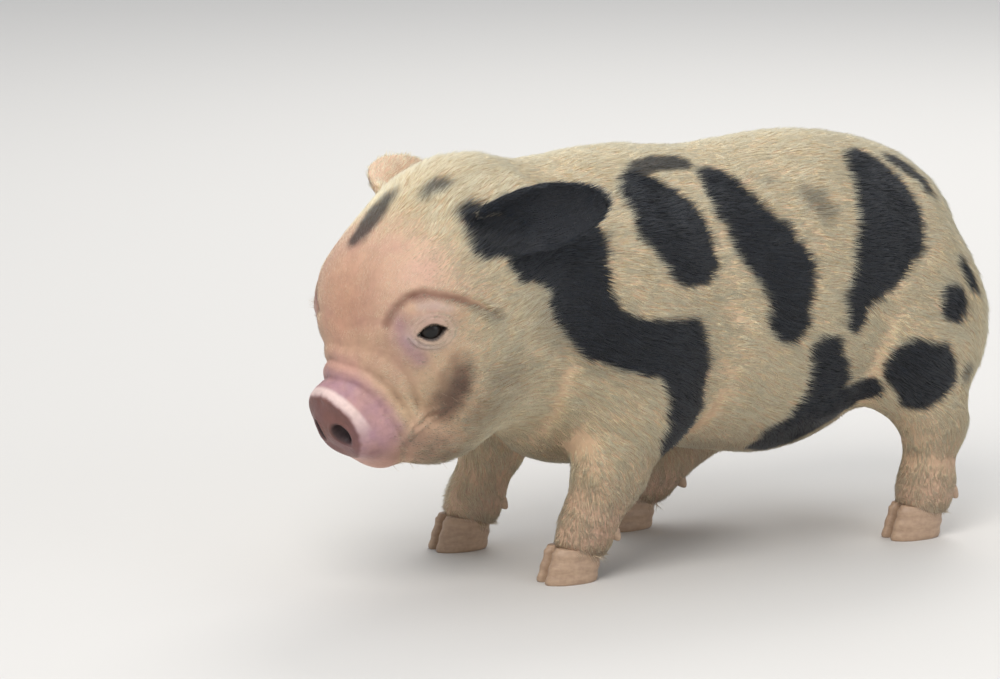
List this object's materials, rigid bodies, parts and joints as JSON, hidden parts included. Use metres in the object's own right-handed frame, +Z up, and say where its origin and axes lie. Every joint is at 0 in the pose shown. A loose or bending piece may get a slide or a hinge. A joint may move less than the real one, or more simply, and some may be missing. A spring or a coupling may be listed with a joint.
{
  "type": "spotted piglet, a young domestic pig, still model",
  "caption": "Life-size still model of a small spotted piglet walking with its nose lowered, in named body parts",
  "frame": {"origin": "on the floor, under the middle of the model's box", "axes": "+Z up, the nose points along -Y, the animal's left side is at +X"},
  "size_m": [0.123, 0.3258, 0.1758],
  "materials": {
    "coat": "cream coat of short soft hair with black patches, over pinkish skin",
    "black_coat": "black skin under short black hair",
    "pink_skin": "bare pink skin, finely wrinkled and slightly moist",
    "horn": "pale brown hoof horn with growth rings",
    "eye": "dark wet eye with a brown iris"
  },
  "bodies": {
    "root": {"head": "coat", "snout_disc": "pink_skin", "neck": "coat", "torso": "coat", "ear_left": "black_coat", "ear_right": "pink_skin", "eye_left": "eye", "eye_right": "eye", "tail": "black_coat", "foreleg_left": "coat", "foreleg_right": "coat", "hindleg_left": "coat", "hindleg_right": "coat", "fore_left_claw_inner": "horn", "fore_left_claw_outer": "horn", "fore_right_claw_inner": "horn", "fore_right_claw_outer": "horn", "hind_left_claw_inner": "horn", "hind_left_claw_outer": "horn", "hind_right_claw_inner": "horn", "hind_right_claw_outer": "horn", "fore_left_dewclaw_inner": "horn", "fore_left_dewclaw_outer": "horn", "fore_right_dewclaw_inner": "horn", "fore_right_dewclaw_outer": "horn", "hind_left_dewclaw_inner": "horn", "hind_left_dewclaw_outer": "horn", "hind_right_dewclaw_inner": "horn", "hind_right_dewclaw_outer": "horn"}
  },
  "joints": []
}
